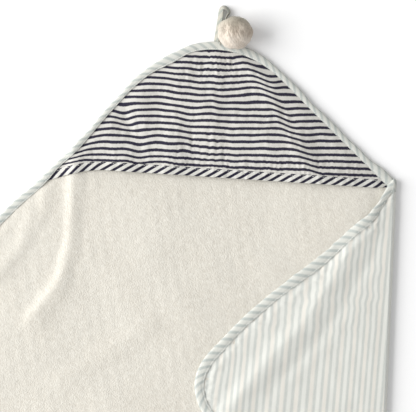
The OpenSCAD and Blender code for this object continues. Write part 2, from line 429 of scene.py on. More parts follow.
class Look:
    """A node material under construction. Its methods return sockets."""

    def __init__(self, name, roughness, sheen=0.0):
        self.material = bpy.data.materials.new(name)
        self.material.use_nodes = True
        self.tree = self.material.node_tree
        self.shader = self.tree.nodes["Principled BSDF"]
        settings = {"Roughness": roughness, "Specular IOR Level": 0.2, "Sheen Weight": sheen,
                    "Sheen Roughness": 0.5}
        for key, value in settings.items():
            self.shader.inputs[key].default_value = value

    def feed(self, socket, value):
        """Gives an input a value or a link."""
        if isinstance(value, bpy.types.NodeSocket):
            self.tree.links.new(value, socket)
        else:
            socket.default_value = value

    def node(self, kind, inputs, output=0, **settings):
        node = self.tree.nodes.new("ShaderNode" + kind)
        for key, value in settings.items():
            setattr(node, key, value)
        for key, value in inputs.items():
            self.feed(node.inputs[key], value)
        return node.outputs[output]

    def math(self, operation, a, b=0.0, c=0.0):
        return self.node("Math", {0: a, 1: b, 2: c}, operation=operation)

    def times(self, a, b):
        return self.math("MULTIPLY", a, b)

    def plus(self, a, b, c):
        """a times b, plus c."""
        return self.math("MULTIPLY_ADD", a, b, c)

    def cloth(self):
        """The place on the flat cloth, in metres, and its x and y."""
        cloth = self.node("UVMap", {}, uv_map="cloth")
        return cloth, *self.axes(cloth)

    def rest(self):
        """The place on the piece before it moves, in metres."""
        return self.node("Attribute", {}, output=1, attribute_name="rest")

    def axes(self, vector):
        parts = self.tree.nodes.new("ShaderNodeSeparateXYZ")
        self.tree.links.new(vector, parts.inputs[0])
        return parts.outputs[0], parts.outputs[1]

    def join(self, x, y):
        return self.node("CombineXYZ", {0: x, 1: y})

    def noise(self, vector, size, detail=2.0, rough=0.5):
        return self.node(
            "TexNoise", {"Vector": vector, "Scale": 1 / size, "Detail": detail, "Roughness": rough})

    def cells(self, vector, size):
        return self.node("TexVoronoi", {"Vector": vector, "Scale": 1 / size})

    def ramp(self, value, low, high, to_low=0.0, to_high=1.0):
        return self.node(
            "MapRange", {0: value, 1: low, 2: high, 3: to_low, 4: to_high}, interpolation_type="SMOOTHSTEP")

    def mix(self, factor, a, b, blend="MIX"):
        node = self.tree.nodes.new("ShaderNodeMix")
        node.data_type, node.blend_type = "RGBA", blend
        for socket, value in ((node.inputs[0], factor), (node.inputs[6], a), (node.inputs[7], b)):
            self.feed(socket, (*value, 1) if isinstance(value, tuple) else value)
        return node.outputs[2]

    def stripe(self, coordinate, pitch, share, soft):
        """1 inside stripes that repeat every pitch and fill share of it, with edges soft wide."""
        turn = self.math("FRACT", self.times(coordinate, 1 / pitch))
        away = self.math("ABSOLUTE", self.math("SUBTRACT", turn, 0.5))
        return self.ramp(away, share / 2 - soft, share / 2 + soft, 1.0, 0.0)

    def finish(self, color, height, depth, strength=1.0):
        self.tree.links.new(color, self.shader.inputs["Base Color"])
        bump = self.node("Bump", {"Height": height, "Distance": depth, "Strength": strength})
        self.tree.links.new(bump, self.shader.inputs["Normal"])
        return self.material


def terry_look():
    look = Look("terry", 0.95, sheen=0.25)
    cloth, x, y = look.cloth()
    loops = look.cells(cloth, 1.7 * MM)
    leaning = look.join(look.plus(y, 0.55, x), look.times(y, 0.45))
    nap = look.noise(leaning, 2.2 * MM, 3.0, 0.6)
    tufts = look.noise(cloth, 7 * MM, 3.0, 0.6)
    patches = look.noise(cloth, 60 * MM, 2.0)
    pile = look.math("ADD", look.times(nap, 0.7), look.times(tufts, 0.3))
    shade = look.ramp(look.plus(loops, -0.22, pile), 0.2, 0.66)
    color = look.mix(shade, (0.61, 0.575, 0.505), (0.745, 0.72, 0.65))
    color = look.mix(look.ramp(patches, 0.35, 0.65, 0.0, 0.14), color, (0.745, 0.73, 0.67))
    fibre = look.noise(cloth, 0.7 * MM, 3.0, 0.7)
    height = look.plus(loops, -0.75, look.plus(fibre, 0.35, pile))
    return look.finish(color, height, 1.3 * MM, 0.4)


def weave(look, vector, size):
    """Height of a plain weave whose threads are size apart."""
    x, y = look.axes(vector)
    turn = 2 * math.pi / size
    warp = look.math("SINE", look.times(x, turn))
    weft = look.math("SINE", look.times(y, turn))
    return look.times(warp, weft)


def lining_look():
    look = Look("striped_lining", 0.85, sheen=0.1)
    cloth, x, y = look.cloth()
    ragged = look.noise(cloth, 3 * MM, 3.0)
    edge = look.plus(ragged, 0.9 * MM, x)
    sage = look.stripe(edge, 9.4 * MM, 0.42, 0.15)
    warm = look.stripe(edge, 18.8 * MM, 0.5, 0.2)
    slub = look.noise(look.join(look.times(x, 6.0), y), 9 * MM, 3.0)
    ground = look.mix(warm, (0.745, 0.75, 0.70), (0.75, 0.725, 0.66))
    color = look.mix(look.times(sage, 0.9), ground, (0.54, 0.565, 0.535))
    color = look.mix(look.ramp(slub, 0.3, 0.7, 0.0, 0.2), color, (0.78, 0.775, 0.73))
    height = look.plus(weave(look, cloth, 0.7 * MM), 0.3, slub)
    return look.finish(color, height, 0.35 * MM, 0.7)


def hood_look():
    look = Look("navy_stripe_cotton", 0.85, sheen=0.1)
    cloth, x, y = look.cloth()
    ragged = look.noise(look.join(x, look.times(y, 0.3)), 2.5 * MM, 3.0)
    level = look.plus(ragged, 1.1 * MM, y)
    navy = look.stripe(level, STRIPE_PITCH, 0.44, 0.05)
    # A thin grey line along the middle of each cream band: painted shade of a crinkle, which the bump also
    # sinks a little
    painted_crinkle_shade = look.stripe(look.math("ADD", level, STRIPE_PITCH / 2), STRIPE_PITCH / 2, 0.16, 0.1)
    fleck = look.noise(look.join(x, look.times(y, 3.0)), 1.6 * MM, 3.0, 0.7)
    ground = look.mix(look.times(painted_crinkle_shade, 0.3), (0.685, 0.665, 0.62), (0.52, 0.52, 0.505))
    ground = look.mix(look.ramp(fleck, 0.35, 0.75, 0.0, 0.3), ground, (0.61, 0.60, 0.565))
    ink = look.mix(look.ramp(fleck, 0.4, 0.75, 0.0, 0.6), (0.016, 0.014, 0.030), (0.075, 0.07, 0.11))
    color = look.mix(navy, ground, ink)
    height = look.plus(weave(look, cloth, 0.8 * MM), 0.25, look.noise(cloth, 3 * MM, 3.0))
    height = look.plus(painted_crinkle_shade, -0.25, height)
    return look.finish(color, height, 0.5 * MM, 0.8)


def tape_look(name, pitch, share, lean, ground, stripe, soft):
    """Bias tape: stripes across cloth whose coordinates are the length along it and the way across it."""
    look = Look(name, 0.85, sheen=0.1)
    cloth, x, y = look.cloth()
    ragged = look.noise(cloth, 2.5 * MM, 3.0)
    line = look.plus(ragged, 0.9 * MM, look.plus(y, lean, x))
    mask = look.stripe(line, pitch, share, soft)
    fleck = look.noise(cloth, 1.6 * MM, 3.0, 0.7)
    pale = look.mix(look.ramp(fleck, 0.35, 0.75, 0.0, 0.4), ground, tuple(0.9 * c for c in ground))
    deep = look.mix(look.ramp(fleck, 0.35, 0.75, 0.0, 0.4), stripe, tuple(min(1.35 * c, 1) for c in stripe))
    height = look.plus(weave(look, cloth, 0.8 * MM), 0.25, look.noise(cloth, 4 * MM, 3.0))
    return look.finish(look.mix(mask, pale, deep), height, 0.5 * MM, 0.7)


def thread_look():
    look = Look("thread", 0.6, sheen=0.1)
    place = look.rest()
    fibre = look.noise(place, 0.6 * MM, 2.0)
    color = look.mix(fibre, (0.72, 0.72, 0.67), (0.90, 0.89, 0.85))
    return look.finish(color, fibre, 0.1 * MM, 0.6)


def wool_look():
    look = Look("wool_felt", 0.95, sheen=0.12)
    place = look.rest()
    stretched = look.node("VectorMath", {0: place, 1: (1.0, 0.22, 0.5)}, operation="MULTIPLY")
    fibre = look.noise(stretched, 1.3 * MM, 6.0, 0.7)
    clumps = look.noise(place, 9 * MM, 3.0, 0.6)
    across, height = look.axes(place)
    # Painted light on the ball: painted shade, greyer towards the top, darker towards the right and at the
    # left rim where the light falls strongest
    painted_shade_top = look.ramp(look.plus(clumps, 9 * MM, height), 490 * MM, 513 * MM, 0.0, 0.75)
    painted_shade_right = look.ramp(look.plus(clumps, 9 * MM, across), 30 * MM, 60 * MM, 0.0, 0.3)
    # pale: a painted highlight, paler towards the bottom of the ball
    pale = look.ramp(height, 470 * MM, 488 * MM, 0.8, 0.0)
    painted_shade_left_rim = look.ramp(across, 10 * MM, 26 * MM, 0.5, 0.0)
    color = look.mix(look.ramp(fibre, 0.35, 0.66), (0.42, 0.345, 0.275), (0.78, 0.70, 0.60))
    color = look.mix(look.ramp(clumps, 0.4, 0.7, 0.0, 0.3), color, (0.50, 0.44, 0.35))
    color = look.mix(painted_shade_right, color, (0.33, 0.265, 0.21))
    color = look.mix(pale, color, (0.86, 0.78, 0.69))
    color = look.mix(painted_shade_left_rim, color, (0.40, 0.365, 0.32))
    color = look.mix(painted_shade_top, color, (0.36, 0.335, 0.27))
    return look.finish(color, fibre, 0.9 * MM, 0.7)


def floor_look():
    look = Look("floor", 0.9)
    place = look.rest()
    grain = look.noise(place, 0.5, 2.0)
    return look.finish(look.mix(grain, (0.94, 0.94, 0.94), (0.95, 0.95, 0.95)), grain, 0.05 * MM, 0.1)


STRIPE_PITCH = 8.78 * MM
STRIPE_START = 308.7 * MM

TERRY = terry_look()
LINING = lining_look()
HOOD = hood_look()
SAGE_TAPE = tape_look("sage_tape", 13.6 * MM, 0.40, -1.0, (0.66, 0.665, 0.615), (0.445, 0.475, 0.45), 0.13)
# The loop is the same sage tape, made darker: painted shade on the face that turns to the light
LOOP_TAPE_SHADED = tape_look("shaded_loop_tape", 13.6 * MM, 0.40, -1.0, (0.43, 0.415, 0.36), (0.30, 0.315, 0.28), 0.13)
NAVY_TAPE = tape_look("navy_tape", 14.4 * MM, 0.46, -1.5, (0.70, 0.69, 0.645), (0.017, 0.015, 0.032), 0.04)
THREAD = thread_look()
WOOL = wool_look()


def dress(piece, material, slot, body, *nodes):
    """Gives a piece its material and body, and lets it stand for CAD nodes. The slot is not used."""
    piece.data.materials.append(material)
    if body:
        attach(piece, body)
    if nodes:
        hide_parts(*nodes)
    return piece


# ---- camera, light and floor ----

VIEW_CENTRE = (-5.1 * MM, 252.5 * MM)
VIEW_WIDTH = 572.8 * MM
LENS = 150
SENSOR = 36
KEY_PLACE, KEY_TARGET = (-3.6, 0.46, 1.7), (0, 0.2, 0)
KEY_SIDE, KEY_POWER = 3.9, 302
WORLD_STRENGTH = 0.56
FLOOR_HALF, FLOOR_Z = 4.0, -0.05 * MM


def add_camera():
    data = bpy.data.cameras.new("camera")
    data.lens, data.sensor_width = LENS, SENSOR
    camera = add_object("camera", data)
    camera.location = (*VIEW_CENTRE, VIEW_WIDTH * LENS / SENSOR)
    bpy.context.scene.camera = camera


def add_key_light():
    data = bpy.data.lights.new("key", "AREA")
    data.shape, data.size, data.size_y = "RECTANGLE", KEY_SIDE, KEY_SIDE
    data.energy = KEY_POWER
    light = add_object("key", data)
    light.location = KEY_PLACE
    light.visible_camera = False
    light.rotation_euler = (Vector(KEY_TARGET) - Vector(KEY_PLACE)).to_track_quat("-Z", "Y").to_euler()


def add_floor():
    half = FLOOR_HALF
    corners = [(-half, -half, 0), (half, -half, 0), (half, half, 0), (-half, half, 0)]
    floor = make_piece("floor", corners, [(0, 1, 2, 3)])
    floor.location.z = FLOOR_Z
    floor.data.materials.append(floor_look())


def add_world():
    world = bpy.data.worlds.new("studio")
    world.use_nodes = True
    background = world.node_tree.nodes["Background"].inputs
    background["Color"].default_value = (1, 1, 1, 1)
    background["Strength"].default_value = WORLD_STRENGTH
    bpy.context.scene.world = world
    bpy.context.scene.view_settings.view_transform = "Standard"


add_camera()
add_world()
add_key_light()
add_floor()


# ---- terry and lining ----

TERRY_STEP = 4 * MM
LINING_STEP = 5 * MM
FLAP_STEP = 2.6 * MM


def towel_grid(step, flap):
    """Flat grid of the towel on one side of the fold, in line with its edges."""
    lines = np.arange(-HALF_SIDE, HALF_SIDE + step / 2, step)

    def keep(x, y):
        near = beyond_fold(x, y) * (1 if flap else -1) > -2 * step
        return near & (inset_of(x, y) > CLOTH_EDGE)

    return cut_at_fold(*plan_grid(lines, lines, math.pi / 4, keep), flap)


def terry_top(inset):
    """Height of the terry's face: full inside, pinched where the binding is sewn down."""
    return 3.4 * MM + 1.6 * MM * past(inset, 8, 16)


def lining_bottom(inset, raised):
    """Height of the lining's outer face near the binding and inside it."""
    return raised * (1 - past(inset, 13, 10))


def make_terry(name, flap, step, lay, body, node):
    x, y, faces = towel_grid(step, flap)
    inset = inset_of(x, y)
    top = terry_top(inset) + 0.12 * MM * ripple(x, y, 14 * MM, 31)
    bottom = np.minimum(lining_bottom(inset, 0.9 * MM) + LINING_T, top - 1.2 * MM)
    if flap:
        top = np.minimum(top, TOWEL_T)
    points, faces = closed_sheet(lay(x, y, top), lay(x, y, bottom), faces)
    return dress(make_piece(name, points, faces, both_sides(x, y)), TERRY, "terry", body, node)


def make_lining(name, flap, step, raised, lay, body, node):
    x, y, faces = towel_grid(step, flap)
    inset = inset_of(x, y)
    puckers = 0.38 * MM * ripple(x, y, 13 * MM, 33) * close_to(inset, 17, 8)
    bottom = lining_bottom(inset, raised) + (puckers if flap else 0)
    points, faces = closed_sheet(lay(x, y, bottom + LINING_T), lay(x, y, bottom), faces)
    return dress(make_piece(name, points, faces, both_sides(x, y)), LINING, "striped_lining", body, node)


terry_main = make_terry("terry_face", False, TERRY_STEP, lay_main, "towel", "terry_main")
lining_main = make_lining("lining", False, LINING_STEP, MAIN_RAISE, lay_main, "towel", "lining_main")
terry_flap = make_terry("corner_terry", True, TERRY_STEP, lay_flap, "corner_flap", "terry_flap")
lining_flap = make_lining(
    "corner_lining", True, FLAP_STEP, FLAP_RAISE, lay_flap, "corner_flap", "lining_flap")


# ---- binding round the edge ----

TAPE_STEP = 3.2 * MM
STITCH_INSET = 11.1 * MM
STITCH_PITCH = 3.5 * MM

# Inset in millimetres and height as a share of the seam, from the inner edge on the terry side
DOMED_SIDE = [(12.7, 0.93), (12.0, 0.97), (11.1, 0.89), (10.2, 0.99), (7.5, 1.0), (5, 0.99), (2.6, 0.93),
              (1.1, 0.79), (0.3, 0.62), (0, 0.5)]
FLAT_SIDE = [(0.3, 0.22), (1.2, 0.05), (3, 0), (7, 0), (12.7, 0)]


def tape_section(thick, domed_below):
    """Closed section of the folded tape as inset and height, with the space for the cloth inside it."""
    upper = [(t * MM, f * thick) for t, f in DOMED_SIDE]
    if domed_below:
        lower = [(t * MM, (1 - f) * thick) for t, f in reversed(DOMED_SIDE[:-1])]
    else:
        lower = [(t * MM, f * thick) for t, f in FLAT_SIDE]
    inner_low, inner_high = lower[-1][1] + TAPE_T, upper[0][1] - TAPE_T
    fold = 1.1 * MM
    inside = [(TAPE_W, inner_low), (2 * fold, inner_low), (fold, thick / 2), (2 * fold, inner_high),
              (TAPE_W, inner_high)]
    return upper + lower + inside


def rolled(s, inset):
    """Inset of the main binding's tape where the edge has rolled under, which narrows it from above."""
    x, y = edge_place(s, 0)
    upper = past(y, 200, 60)
    left = 0.36 * before(x, -45, 60) - 0.15 * before(x, -225, 30)
    right = 0.29 * past(x, 35, 50) * before(x, 238, 20)
    tip = 0.12 * past(y, 440, 30)
    wander = 0.035 * ripple(s, 0 * s, 45 * MM, 43)
    keep = 1 - upper * (np.maximum(left + right, tip) + wander)
    return TAPE_W - (TAPE_W - inset) * keep


def hood_share(x, y):
    """How far a place belongs to the bound edge of the hood, from 0 to 1."""
    return smooth((y - mouth_y(x) + 2 * MM) / (8 * MM))


def edge_range(inset, flap):
    """First and last length along the edge of the main part or of the folded corner, at an inset."""
    upper, lower = fold_crossing(inset, True), fold_crossing(inset, False)
    return (upper, lower) if flap else (lower, upper + EDGE_LENGTH)


def pucker(s, inset):
    """Small gathers that the stitching draws into the tape."""
    depth = 0.16 * MM * ripple(s, 0 * s, 11 * MM, 41) + 0.07 * MM * ripple(s, 0 * s, 5 * MM, 42)
    return depth * past(inset, 2, 6)


HOOD_SEAM_RISE = 1.9 * MM


def tape_height(s, inset, share, thick):
    """Height of a point of the main binding, thicker where it holds the hood, and puckered on top."""
    x, y = edge_place(s, rolled(s, inset))
    rise = HOOD_SEAM_RISE * hood_share(x, y) * smooth(1.5 * share)
    return x, y, share * thick + rise + pucker(s, inset) * smooth(share * 2 - 1)


def make_binding(name, flap, lay, thick, body, node):
    section = tape_section(thick, flap)
    inset = np.array([t for t, _ in section])
    share = np.array([z for _, z in section]) / thick
    first, final = np.array([edge_range(t, flap) for t in inset]).T
    stations = int((final[0] - first[0]) / TAPE_STEP)
    walk = np.linspace(0, 1, stations)[:, None]
    s = first + (final - first) * walk
    if flap:
        x, y = edge_place(s, inset)
        z = share * thick + pucker(s, inset) * np.sign(share - 0.5)
    else:
        x, y, z = tape_height(s, inset, share, thick)
    points, faces = lay(x, y, z).reshape(-1, 3), sweep_faces(len(section), stations)
    across = running(np.hypot(np.diff(inset), np.diff(share * thick)))
    top = len(DOMED_SIDE) - 1
    flat = np.stack([s, np.broadcast_to(across[top] - across, s.shape)], axis=-1).reshape(-1, 2)
    return dress(make_piece(name, points, faces, flat), SAGE_TAPE, "sage_binding", body, node)


def seam_surface(flap, lay, thick, top):
    """The line that the stitches lie on, on the terry side or the lining side of the tape."""
    share = 0.85 if top else (0.15 if flap else 0)

    def surface(s):
        x, y, z = tape_height(s, STITCH_INSET, share, thick)
        if flap:
            z = share * thick + 0 * s
        centre = lay(x, y, z)
        return centre, lay(x, y, z + (1 if top else -1) * MM) - centre

    return surface


def make_edge_stitches(name, flap, lay, thick, body, node):
    first, final = edge_range(STITCH_INSET, flap)
    s = np.arange(first + 3 * MM, final - 3 * MM, STITCH_PITCH)
    rows = [bead_row(name, s, seam_surface(flap, lay, thick, top)) for top in (True, False)]
    return dress(merge(name, rows), THREAD, "thread", body, node)


def merge(name, pieces):
    """One piece from several, without their materials."""
    points, faces = [], []
    for piece in pieces:
        start = len(points)
        points += [v.co[:] for v in piece.data.vertices]
        faces += [[i + start for i in face.vertices] for face in piece.data.polygons]
        bpy.data.objects.remove(piece)
    return make_piece(name, points, faces)


MAIN_SEAM = 5.0 * MM
FLAP_SEAM = TOWEL_T

binding_main = make_binding("edge_binding", False, lay_main, MAIN_SEAM, "towel", "binding_main")
stitch_main = make_edge_stitches("edge_stitches", False, lay_main, MAIN_SEAM, "towel", "stitch_main")
binding_flap = make_binding("corner_binding", True, lay_flap, FLAP_SEAM, "corner_flap", "binding_flap")
stitch_flap = make_edge_stitches("corner_stitches", True, lay_flap, FLAP_SEAM, "corner_flap", "stitch_flap")


# ---- hood ----

HOOD_STEP = 1.6 * MM
HOOD_T = 0.7 * MM
HOOD_LINING_STEP = 4 * MM
HOOD_LINING_T = 0.5 * MM
HOOD_REACH = 262 * MM
HOOD_LOW = 262 * MM
CROWN = 5.0 * MM
CREASE = [(50, 452), (58, 436), (82, 398), (100, 356), (120, 322), (146, 290)]
LEFT_VALLEY = [(-128, 392), (-118, 370), (-100, 342), (-97, 300)]
CENTRE_FOLD = [(4, 470), (6, 400), (4, 330), (8, 290)]


def hood_height(x, y):
    """Height of the hood cloth's underside in settled places: flat in the seams and raised at the mouth."""
    d = settled_inset(x, y)
    base = 3.6 * MM + 1.6 * MM * past(d, 9, 15)
    crown = CROWN * past(d, 14, 85) * before(y, 470, 150)
    rise = crease(x, y, CREASE, 2.4, 24, 10) - crease(x, y, LEFT_VALLEY, 1.6, 12, 12)
    rise = rise + crease(x, y, CENTRE_FOLD, 0.7, 9, 5)
    rise = rise + 0.45 * MM * ripple(x, y, 46 * MM, 51, squeeze=(1, 0.35))
    rise = rise + 0.16 * MM * ripple(x, y, 11 * MM, 52, squeeze=(1, 0.5))
    gathered = past(y, 415, 40) * hump(x / (42 * MM)) + 0.7 * before(y, 322, 22)
    rise = rise + 0.3 * MM * ripple(x, y, 6 * MM, 53, squeeze=(1, 0.2)) * (0.25 + gathered)
    rise = rise - 0.75 * MM * pinched(x, y, 1.9 * MM)
    return base + crown + (rise + 0.6 * MM) * past(d, 12, 16)


# Pinches in the hood, each as x and the y where it starts and ends, in millimetres
PINCHES = [(-3, 480, 446), (1, 462, 428), (13, 482, 450), (19, 470, 432), (27, 474, 440), (-14, 470, 452),
           (-26, 352, 306), (-15, 344, 304), (-4, 356, 306), (7, 350, 304), (17, 342, 306), (-48, 338, 308)]


def pinched(x, y, width):
    """How strongly the gathers of the hood's seams pinch a place, from 0 to 1."""
    total = 0
    for at, start, end in PINCHES:
        lean = at * MM + 1.2 * MM * np.sin(y / (9 * MM) + at)
        along = smooth((start * MM - y) / (6 * MM)) * smooth((y - end * MM) / (12 * MM))
        total = total + hump((x - lean) / width) * along
    return total


def settled_inset(x, y):
    """Distance inwards from the towel's edge of a settled place, by about where it was on the flat cloth."""
    moved = settle(x, y)
    return inset_of(2 * x - moved[0], 2 * y - moved[1])


# Rise, x, width along x, y and width along y of each place where the stripes are drawn up, in millimetres
STRIPE_BUMPS = [(-2.1, -118, 18, 384, 12), (-2.0, -72, 24, 326, 14), (2.0, 66, 13, 406, 15),
                (2.3, 102, 12, 414, 16), (-2.2, 108, 11, 346, 20), (2.4, -35, 13, 332, 12)]


def stripe_wave(x, y):
    """How far the hood's stripes are drawn up at a place, by its creases and by the slant of its mouth."""
    low = before(y, 340, 40)
    d = settled_inset(x, y)
    wave = 6.4 * (1 - past(x, -78, 62)) - 1.3 * past(x, -1, 13)
    wave = wave - 1.0 * past(x, 11, 20) * before(y, 410, 25)
    bump = close_to(x, 46, 14) * past(y, 392, 20)
    wave = wave + 1.8 * bump
    drop = 7.8 - 3.2 * low - 3.4 * past(y, 430, 22)
    crease_x = 62 * MM + 0.55 * (440 * MM - y)
    wave = wave - drop * smooth((x - crease_x + 13 * MM) / (26 * MM))
    wave = wave - 35 * low * np.clip(x - 20 * MM, 0, None) + 44 * low * np.clip(-110 * MM - x, 0, None)
    valley_x = -99 * MM - 24 * MM * past(y, 345, 35)
    wave = wave - 3.2 * hump((x - valley_x) / (13 * MM)) * before(y, 398, 22)
    wave = wave - 9.5 * close_to(d, 8, 13) * before(y, 374, 62) * (x < 0)
    wave = wave - 2.2 * close_to(x, -62, 24) * past(y, 425, 25)
    for rise, at_x, wide, at_y, deep in STRIPE_BUMPS:
        wave = wave + rise * close_to(x, at_x, wide) * close_to(y, at_y, deep)
    wave = wave + 2.5 * close_to(x, 76, 12) * past(y, 435, 12)
    wave = wave - 1.2 * close_to(y, 326, 13)
    crinkled = hump(x / (40 * MM)) * past(y, 400, 40) + 0.6 * before(y, 330, 20)
    wave = wave + 0.3 * ripple(x, y, 7 * MM, 55, squeeze=(1, 0.3)) * crinkled - 0.7 * pinched(x, y, 2.6 * MM)
    wave = wave + 0.35 * ripple(x, y, 24 * MM, 54, squeeze=(1, 0.4)) * before(np.abs(x), 200, 60)
    return wave * MM


def hood_grid(step):
    """Flat grid of the hood's cloth, between its seams, its mouth and the fold."""
    columns = np.arange(-HOOD_REACH, HOOD_REACH, step)
    rows = np.arange(HOOD_LOW, TIP_Y, step)

    def keep(x, y):
        sx, sy = settle(x, y)
        inside = (inset_of(x, y) > CLOTH_EDGE) & (sy > mouth_y(sx) + 2.2 * MM)
        return inside & (beyond_fold(x, y) < -1.0 * MM)

    return plan_grid(columns, rows, 0, keep)


def make_hood(name, step, low, high, material, slot, node):
    """One cloth of the hood, between two heights above its underside."""
    x, y, faces = hood_grid(step)
    x, y = settle(x, y)
    z = hood_height(x, y) + main_lift(x, y)
    top, bottom = (np.stack([x, y, z + h], axis=1) for h in (high, low))
    points, faces = closed_sheet(top, bottom, faces.tolist())
    level = y - stripe_wave(x, y) - STRIPE_START + STRIPE_PITCH / 2
    return dress(make_piece(name, points, faces, both_sides(x, level)), material, slot, "towel", node)


hood_panel = make_hood("hood_panel_cloth", HOOD_STEP, HOOD_LINING_T, HOOD_LINING_T + HOOD_T,
                       HOOD, "navy_stripe_cotton", "hood_panel")
hood_lining = make_hood("hood_inner_cloth", HOOD_LINING_STEP, 0, HOOD_LINING_T, TERRY, "terry", "hood_lining")


# ---- binding of the hood's mouth ----

MOUTH_STEP = 2.2 * MM
# Distance from the mouth's edge in millimetres and height as a share of the thickness, inner edge first
MOUTH_SECTION = [(11.6, 1.0), (10.8, 1.06), (9.9, 0.99), (8.9, 1.08), (6.5, 1.14), (4, 1.14), (2, 1.05),
                 (0.8, 0.9), (0.15, 0.7), (0, 0.5), (0.2, 0.25), (1, 0.05), (3, -0.03), (8, -0.03),
                 (11.6, 0.0), (11.6, 0.25), (2, 0.25), (1.2, 0.5), (2, 0.75), (11.6, 0.75)]
MOUTH_LOW = -0.7 * MM
MOUTH_THICK = 2.5 * MM
MOUTH_TOP_POINTS = 10
MOUTH_ENDS = np.linspace(262, 150, 400) * MM
MOUTH_STITCH_AT = 9.9 * MM
MOUTH_STITCHES = np.arange(-212 * MM, 231 * MM, STITCH_PITCH)
MOUTH_STITCH_W, MOUTH_STITCH_H = 0.24 * MM, 0.3 * MM


def mouth_place(x, across, share):
    """A point of the mouth's binding, across it from its front edge and up through its thickness."""
    slope = (mouth_y(x + MM) - mouth_y(x - MM)) / (2 * MM)
    tilt = np.hypot(1, slope)
    px, py = x - across * slope / tilt, mouth_y(x) + across / tilt
    gather = 0.12 * MM * ripple(x, 0 * x, 9 * MM, 61) * smooth(across / (8 * MM))
    room = np.minimum(settled_inset(px, py) - 9 * MM, -beyond_fold(px, py) - 8 * MM)
    squeeze = 0.42 + 0.58 * smooth(room / (14 * MM))
    z = hood_height(px, py) + main_lift(px, py)
    z = z + (MOUTH_LOW + share * MOUTH_THICK) * squeeze + gather * share
    return np.stack([px, py, z], axis=-1)


def mouth_ends(across):
    """X at which the mouth's binding runs under the outer binding, on the left and on the right."""
    ends = []
    for x in (-MOUTH_ENDS, MOUTH_ENDS):
        px, py = mouth_place(x, across, 0.5)[:, :2].T
        free = (settled_inset(px, py) > 6.5 * MM) & (beyond_fold(px, py) < -4 * MM)
        ends.append(x[np.argmax(free)])
    return ends


def make_mouth_binding():
    across = np.array([t for t, _ in MOUTH_SECTION]) * MM
    share = np.array([f for _, f in MOUTH_SECTION])
    left, right = np.array([mouth_ends(t) for t in across]).T
    stations = int((right[0] - left[0]) / MOUTH_STEP)
    grid = left + (right - left) * np.linspace(0, 1, stations)[:, None]
    points = mouth_place(grid, across, share).reshape(-1, 3)
    faces = sweep_faces(len(MOUTH_SECTION), stations)
    girth = running(np.hypot(np.diff(across), np.diff(share) * MOUTH_THICK))
    way = girth[MOUTH_TOP_POINTS - 1] - girth
    flat = np.stack([grid, np.broadcast_to(way, grid.shape)], axis=-1).reshape(-1, 2)
    piece = make_piece("mouth_binding", points, faces, flat)
    return dress(piece, NAVY_TAPE, "navy_binding", "towel", "hood_mouth_binding")


def mouth_seam(s):
    """The line that the mouth's stitches lie on, with its ups."""
    across = MOUTH_STITCH_AT + 0 * s
    centre = mouth_place(s, across, 0.97 + 0 * s)
    return centre, mouth_place(s, across, 1.5 + 0 * s) - centre


mouth_binding = make_mouth_binding()
mouth_stitches = bead_row("mouth_stitches", MOUTH_STITCHES, mouth_seam, MOUTH_STITCH_W, MOUTH_STITCH_H)
dress(mouth_stitches, THREAD, "thread", "towel", "hood_mouth_stitch")


# ---- bend of the fold ----

BEND_STEPS = 12


def fold_point(distance, height, angle):
    """A point of the bend: at a distance along the fold and a flat height, turned by an angle about it."""
    radius = FOLD_Z - height
    out, down = radius * np.sin(angle), radius * np.cos(angle)
    x = FOLD_X + distance * FOLD_SIN + out * FOLD_COS
    y = FOLD_Y + distance * FOLD_COS - out * FOLD_SIN
    return np.stack([x, y, FOLD_Z - down], axis=-1)


def fold_distance(inset, upper):
    """Distance along the fold, from its reference point, at which the line at an inset crosses it."""
    x, y = edge_place(fold_crossing(inset, upper), inset)
    return (x - FOLD_X) * FOLD_SIN + (y - FOLD_Y) * FOLD_COS


def blend_bend(piece):
    """Bakes the piece's transform into its points."""
    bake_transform(piece)
    return piece


def make_cloth_bend(name, layer, material, slot, node):
    """The lining or the terry as it rolls round the fold, between two levels of the flat towel."""
    along = np.linspace(fold_distance(CLOTH_EDGE, False), fold_distance(CLOTH_EDGE, True), 150)
    angles = np.linspace(0, math.pi, BEND_STEPS + 1)
    d, a = (g.ravel() for g in np.meshgrid(along, angles))
    inset = np.minimum(d - fold_distance(0, False), fold_distance(0, True) - d) * 0.7
    outer, inner = bend_levels(inset)[layer:layer + 2]
    quads = grid_quads(BEND_STEPS + 1, len(along)).tolist()
    points, faces = closed_sheet(fold_point(d, outer, a), fold_point(d, inner, a), quads)
    roll = FOLD_X + FOLD_Z * (a - math.pi)
    piece = make_piece(name, points, faces, both_sides(roll, d))
    return blend_bend(dress(piece, material, slot, None, node))


def make_binding_bend():
    """The two lengths of tape that roll round the fold with it."""
    section = tape_section(MAIN_SEAM, False)
    angles = np.linspace(0, math.pi, BEND_STEPS + 1)
    points, faces, flat = [], [], []
    for upper in (False, True):
        along = np.array([fold_distance(t, upper) for t, _ in section])
        height = np.minimum([z for _, z in section], FOLD_Z - 0.1 * MM)
        d, a = np.meshgrid(along, angles)
        h = np.broadcast_to(height, d.shape)
        start = len(points)
        points += fold_point(d, h, a).reshape(-1, 3).tolist()
        swept = sweep_faces(len(section), len(angles))
        faces += [[i + start for i in (face if upper else face[::-1])] for face in swept]
        flat += np.stack([a.ravel() * FOLD_Z, d.ravel()], axis=1).tolist()
    piece = make_piece("binding_bend", points, faces, flat)
    return blend_bend(dress(piece, SAGE_TAPE, "sage_binding", None, "binding_fold_bend"))


def bend_levels(inset):
    """Heights at the bend: the lining's outer face, where lining and terry meet, and the terry's face."""
    outer = lining_bottom(inset, MAIN_RAISE)
    return outer, outer + LINING_T, np.minimum(terry_top(inset), TOWEL_T)


lining_bend = make_cloth_bend("lining_bend", 0, LINING, "striped_lining", "lining_fold_bend")
terry_bend = make_cloth_bend("terry_bend", 1, TERRY, "terry", "terry_fold_bend")
binding_bend = make_binding_bend()


# ---- hanging loop ----

LOOP_W = 8.4 * MM
LOOP_T = 1.3 * MM
